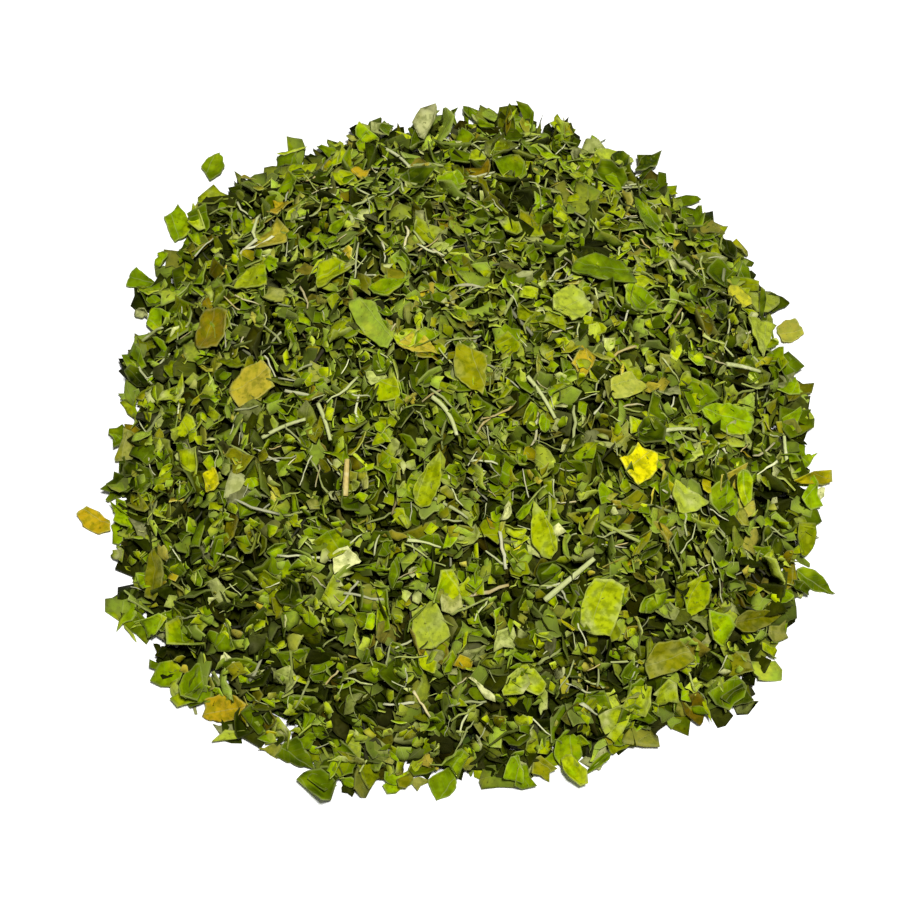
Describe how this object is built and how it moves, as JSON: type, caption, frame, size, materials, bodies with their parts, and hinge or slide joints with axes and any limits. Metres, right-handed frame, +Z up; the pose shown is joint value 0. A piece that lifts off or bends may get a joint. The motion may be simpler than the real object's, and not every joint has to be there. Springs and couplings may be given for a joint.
{
  "type": "heap of cut dried moringa leaf",
  "caption": "Low round heap of cut, dried moringa leaf flakes with bits of pale leaf stalk, resting loose on a flat surface.",
  "frame": {"origin": "middle of the heap's bounding box, on the surface it rests on", "axes": "+Z up, +X to the right and +Y to the back as the heap is seen from the front"},
  "size_m": [0.1702, 0.1624, 0.0389],
  "materials": {
    "packed_leaf": "matte",
    "green_leaf": "matte",
    "dark_leaf": "matte",
    "olive_leaf": "matte",
    "pale_leaf": "matte",
    "yellow_leaf": "matte",
    "tan_leaf": "matte",
    "brown_leaf": "matte",
    "leaf_stalk": "matte"
  },
  "bodies": {
    "root": {"packed_leaf_bulk": "packed_leaf", "stray_green_flake": "green_leaf", "stray_tan_flake": "tan_leaf", "stray_triangle_flake": "green_leaf", "spike_flake": "dark_leaf", "brown_square_flake": "brown_leaf", "orange_star_flake": "tan_leaf", "pale_kite_flake": "pale_leaf", "pale_trapezoid_flake": "pale_leaf", "corner_flake": "green_leaf", "lobed_left_flake": "green_leaf", "folded_yellow_green_flake": "green_leaf", "mottled_lobed_flake": "green_leaf", "orange_chip": "tan_leaf", "green_oval_flake": "green_leaf", "large_green_flake": "green_leaf", "olive_tan_triangle": "tan_leaf", "big_pale_flake": "pale_leaf", "pointed_green_flake": "green_leaf", "large_dark_flake": "dark_leaf", "pale_olive_flake": "pale_leaf", "heart_shaped_flake": "green_leaf", "yellow_corner_flake": "yellow_leaf", "dark_round_flake": "dark_leaf", "pale_triangle_flake": "pale_leaf", "brown_edge_flake": "brown_leaf", "near_whole_leaflet": "green_leaf", "pale_tan_triangle": "pale_leaf", "round_green_flake": "green_leaf", "long_curled_flake": "olive_leaf", "ribbed_tan_flake": "tan_leaf", "large_olive_flake": "olive_leaf", "yellow_green_square": "green_leaf", "folded_middle_flake": "pale_leaf", "cream_flake": "pale_leaf", "bright_yellow_flake": "yellow_leaf", "olive_tan_trapezoid": "tan_leaf", "light_pointed_flake": "green_leaf", "yellow_chip": "yellow_leaf", "olive_upright_flake": "olive_leaf", "large_bright_flake": "green_leaf", "olive_green_flake": "green_leaf", "folded_olive_flake": "olive_leaf", "orange_tan_foot_flake": "tan_leaf", "dark_foot_triangle": "dark_leaf", "pale_lobed_flake": "pale_leaf", "front_foot_flake": "green_leaf", "bright_front_flake": "green_leaf", "pale_front_triangle": "pale_leaf", "long_thin_stem": "leaf_stalk", "widest_pale_stem": "leaf_stalk", "crossed_stem": "leaf_stalk", "left_stem": "leaf_stalk", "tan_stem_strip": "leaf_stalk", "curved_stem": "leaf_stalk", "right_stem": "leaf_stalk", "edge_stem": "leaf_stalk", "level_stem": "leaf_stalk", "middle_stem": "leaf_stalk"}
  },
  "joints": []
}
